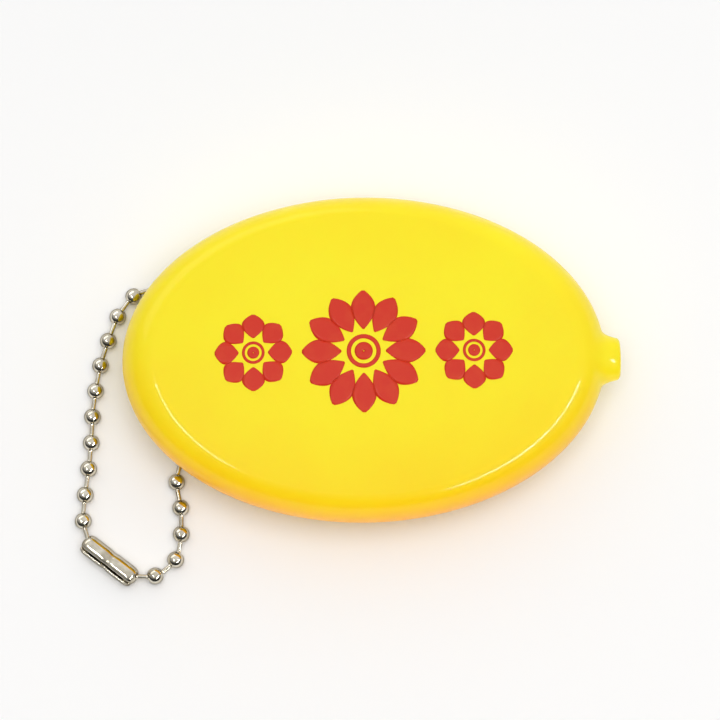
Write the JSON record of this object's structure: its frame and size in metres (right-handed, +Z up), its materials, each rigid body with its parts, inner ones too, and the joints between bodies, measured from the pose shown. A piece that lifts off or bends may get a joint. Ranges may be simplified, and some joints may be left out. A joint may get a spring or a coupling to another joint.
{
  "type": "squeeze coin purse",
  "caption": "Oval moulded squeeze coin purse with a slit mouth in the back that opens when pressed, a stub neck at one end and a closed ball chain.",
  "frame": {"origin": "middle of the slit, on the plane the purse rests on with its slit down", "axes": "+X along the slit to the pull neck, +Y across, +Z up through the printed front"},
  "size_m": [0.0908, 0.0641, 0.0162],
  "materials": {
    "vinyl": "glossy soft vinyl",
    "nickel": "bright nickel plate"
  },
  "bodies": {
    "purse": {"purse_shell": "vinyl", "chain_bead_15": "nickel", "chain_bead_16": "nickel", "chain_bead_17": "nickel", "chain_bead_18": "nickel", "chain_link_15": "nickel", "chain_link_16": "nickel", "chain_link_17": "nickel"},
    "upper_lip": {"upper_lip": "vinyl"},
    "lower_lip": {"lower_lip": "vinyl"},
    "chain_drop": {"chain_bead_11": "nickel", "chain_bead_12": "nickel", "chain_bead_13": "nickel", "chain_bead_14": "nickel", "chain_bead_19": "nickel", "chain_link_10": "nickel", "chain_link_11": "nickel", "chain_link_12": "nickel", "chain_link_13": "nickel", "chain_link_14": "nickel", "chain_link_18": "nickel", "chain_link_19": "nickel"},
    "chain_row_1": {"chain_bead_09": "nickel", "chain_bead_10": "nickel", "chain_bead_20": "nickel", "chain_link_08": "nickel", "chain_link_09": "nickel", "chain_link_20": "nickel"},
    "chain_row_2": {"chain_bead_07": "nickel", "chain_bead_08": "nickel", "chain_bead_21": "nickel", "chain_link_06": "nickel", "chain_link_07": "nickel", "chain_link_21": "nickel"},
    "chain_row_3": {"chain_bead_04": "nickel", "chain_bead_05": "nickel", "chain_bead_06": "nickel", "chain_bead_22": "nickel", "chain_link_03": "nickel", "chain_link_04": "nickel", "chain_link_05": "nickel", "chain_link_22": "nickel"},
    "chain_row_4": {"chain_bead_01": "nickel", "chain_bead_02": "nickel", "chain_bead_03": "nickel", "chain_bead_23": "nickel", "chain_bead_24": "nickel", "chain_bead_25": "nickel", "chain_bead_26": "nickel", "chain_link_01": "nickel", "chain_link_02": "nickel", "chain_link_23": "nickel", "chain_link_24": "nickel", "chain_link_25": "nickel"},
    "coupling": {"chain_coupling": "nickel"}
  },
  "joints": [
    {"name": "upper_lip_open", "type": "hinge", "parent": "purse", "child": "upper_lip", "pos_m": [0, 0.0136, 0.00119], "axis": [1, 0, 0], "range_deg": [0, 60], "stiffness_Nm_per_rad": 0.02},
    {"name": "lower_lip_open", "type": "hinge", "parent": "purse", "child": "lower_lip", "pos_m": [0, -0.0136, 0.00119], "axis": [-1, 0, 0], "range_deg": [0, 60], "stiffness_Nm_per_rad": 0.02},
    {"name": "chain_swing", "type": "hinge", "parent": "purse", "child": "chain_drop", "pos_m": [-0.02855, -0.00157, 0.00331], "axis": [0, 1, 0], "range_deg": [-25, 0]},
    {"name": "chain_fold_1", "type": "hinge", "parent": "chain_drop", "child": "chain_row_1", "pos_m": [-0.03561, -0.00247, 0.0014], "axis": [-0.4138, 0.9104, 0], "range_deg": [-18, 18]},
    {"name": "chain_fold_2", "type": "hinge", "parent": "chain_row_1", "child": "chain_row_2", "pos_m": [-0.03777, -0.00869, 0.0014], "axis": [-0.5369, 0.8437, 0], "range_deg": [-18, 18]},
    {"name": "chain_fold_3", "type": "hinge", "parent": "chain_row_2", "child": "chain_row_3", "pos_m": [-0.0382, -0.01519, 0.0014], "axis": [-0.6866, 0.7271, 0], "range_deg": [-18, 18]},
    {"name": "chain_fold_4", "type": "hinge", "parent": "chain_row_3", "child": "chain_row_4", "pos_m": [-0.03866, -0.02396, 0.0014], "axis": [-0.9211, 0.3894, 0], "range_deg": [-18, 18]},
    {"name": "coupling_turn", "type": "hinge", "parent": "chain_row_4", "child": "coupling", "pos_m": [-0.04262, -0.03239, 0.00175], "axis": [0.788, -0.6157, 0], "continuous": true}
  ],
  "couplings": [
    {"joint": "lower_lip_open", "follows": "upper_lip_open", "ratio": 1}
  ]
}
